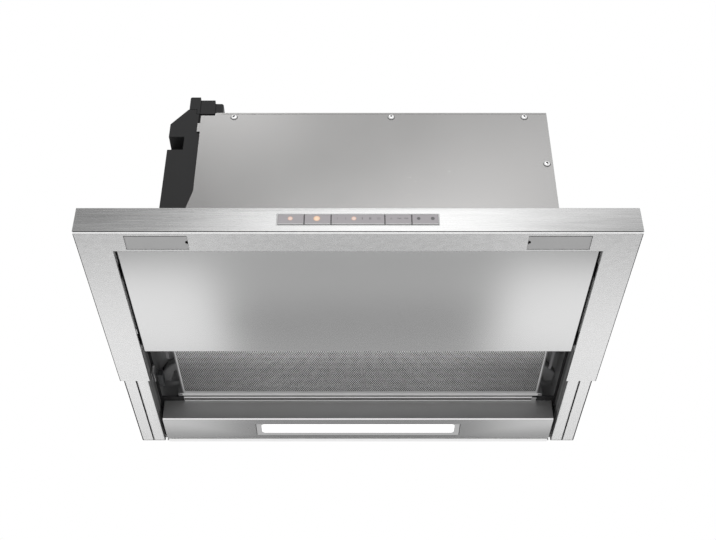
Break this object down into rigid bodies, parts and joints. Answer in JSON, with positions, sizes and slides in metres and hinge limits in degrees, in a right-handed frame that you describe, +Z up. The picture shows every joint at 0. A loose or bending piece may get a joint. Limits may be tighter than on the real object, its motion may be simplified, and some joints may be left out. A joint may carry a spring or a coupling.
{
  "type": "range hood",
  "caption": "Pull-out range hood for a wall cabinet: brushed front bar with push keys, sliding screen frame, hinged grease filter, light panel, housed blower and duct collar.",
  "frame": {"origin": "middle of the hood's box on its underside, with the pull-out frame extended as in the picture", "axes": "+X across the hood to its right end, +Y from the front bar to the back wall, +Z up"},
  "size_m": [0.595, 0.4602, 0.43],
  "materials": {
    "brushed_steel": "stainless steel, brushed along its length",
    "satin_steel": "satin sheet steel with a fine grain",
    "steel_small": "plain zinc-bright steel",
    "black_plastic": "black moulded plastic with a light sheen",
    "grey_plastic": "silver-grey moulded plastic",
    "filter_metal": "expanded aluminium mesh in a folded rim",
    "nylon": "natural nylon",
    "circuit_board": "glass-fibre circuit board with parts on it",
    "opal_lens": "opal diffuser, lit from above",
    "motor_steel": "grey painted motor and capacitor cans",
    "pad_rubber": "black rubber"
  },
  "bodies": {
    "housing": {"housing_shell": "satin_steel", "floor_ring": "satin_steel", "front_cover": "satin_steel", "cover_screws": "steel_small", "electronics_case": "black_plastic", "terminal_head": "black_plastic", "power_board": "circuit_board", "outlet_collar": "black_plastic", "scroll_right": "black_plastic", "scroll_left": "black_plastic", "motor": "motor_steel", "motor_bracket": "steel_small", "motor_pads": "pad_rubber", "capacitor": "motor_steel", "air_guide": "black_plastic", "reed_switch": "black_plastic", "rail_right": "brushed_steel", "rail_left": "brushed_steel", "light_panel": "brushed_steel", "light_bezel": "grey_plastic", "light_lens": "opal_lens", "led_board": "circuit_board", "bracket_right": "satin_steel", "bracket_left": "satin_steel"},
    "runner_right": {"middle_runner_right": "satin_steel", "middle_glides_right": "nylon"},
    "runner_left": {"middle_runner_left": "satin_steel", "middle_glides_left": "nylon"},
    "canopy": {"pullout_frame": "brushed_steel", "fascia": "brushed_steel", "fascia_nuts": "steel_small", "bar_lid": "satin_steel", "control_strip": "grey_plastic", "control_board": "circuit_board", "screw_cover_right": "grey_plastic", "screw_cover_left": "grey_plastic", "screen_plate": "brushed_steel", "plate_fixings": "black_plastic", "frame_magnet": "steel_small", "blade_runner_right": "satin_steel", "blade_runner_left": "satin_steel", "blade_glides": "nylon"},
    "key_1": {"key_1": "grey_plastic"},
    "key_2": {"key_2": "grey_plastic"},
    "key_3": {"key_3": "grey_plastic"},
    "key_4": {"key_4": "grey_plastic"},
    "key_5": {"key_5": "grey_plastic"},
    "fan": {"impeller": "black_plastic", "motor_shaft": "steel_small"},
    "flap_front": {"flap_front": "black_plastic"},
    "flap_rear": {"flap_rear": "black_plastic"},
    "filter": {"filter_frame": "filter_metal", "filter_screen_lower": "filter_metal", "filter_screen_upper": "filter_metal", "filter_core": "filter_metal"},
    "latch": {"filter_latch": "grey_plastic"}
  },
  "joints": [
    {"name": "canopy_slide", "type": "slide", "parent": "housing", "child": "canopy", "axis": [0, 1, 0], "range_m": [0, 0.16]},
    {"name": "runner_slide_right", "type": "slide", "parent": "housing", "child": "runner_right", "axis": [0, 1, 0], "range_m": [0, 0.08]},
    {"name": "runner_slide_left", "type": "slide", "parent": "housing", "child": "runner_left", "axis": [0, 1, 0], "range_m": [0, 0.08]},
    {"name": "key_1_press", "type": "slide", "parent": "canopy", "child": "key_1", "axis": [0, 1, 0], "range_m": [0, 0.0012], "stiffness_N_per_m": 900},
    {"name": "key_2_press", "type": "slide", "parent": "canopy", "child": "key_2", "axis": [0, 1, 0], "range_m": [0, 0.0012], "stiffness_N_per_m": 900},
    {"name": "key_3_press", "type": "slide", "parent": "canopy", "child": "key_3", "axis": [0, 1, 0], "range_m": [0, 0.0012], "stiffness_N_per_m": 900},
    {"name": "key_4_press", "type": "slide", "parent": "canopy", "child": "key_4", "axis": [0, 1, 0], "range_m": [0, 0.0012], "stiffness_N_per_m": 900},
    {"name": "key_5_press", "type": "slide", "parent": "canopy", "child": "key_5", "axis": [0, 1, 0], "range_m": [0, 0.0012], "stiffness_N_per_m": 900},
    {"name": "fan_spin", "type": "hinge", "parent": "housing", "child": "fan", "pos_m": [0, 0.13585, 0.23], "axis": [1, 0, 0], "continuous": true},
    {"name": "flap_front_hinge", "type": "hinge", "parent": "housing", "child": "flap_front", "pos_m": [0, 0.1094, 0.4], "axis": [-1, 0, 0], "range_deg": [0, 75]},
    {"name": "flap_rear_hinge", "type": "hinge", "parent": "housing", "child": "flap_rear", "pos_m": [0, 0.1166, 0.4], "axis": [1, 0, 0], "range_deg": [0, 75]},
    {"name": "filter_hinge", "type": "hinge", "parent": "housing", "child": "filter", "pos_m": [0, 0.15345, 0.0316], "axis": [-1, 0, 0], "range_deg": [-50, 0]},
    {"name": "latch_slide", "type": "slide", "parent": "filter", "child": "latch", "axis": [0, 1, 0], "range_m": [0, 0.004], "stiffness_N_per_m": 600}
  ],
  "couplings": [
    {"joint": "runner_slide_right", "follows": "canopy_slide", "ratio": 0.5},
    {"joint": "runner_slide_left", "follows": "canopy_slide", "ratio": 0.5}
  ]
}
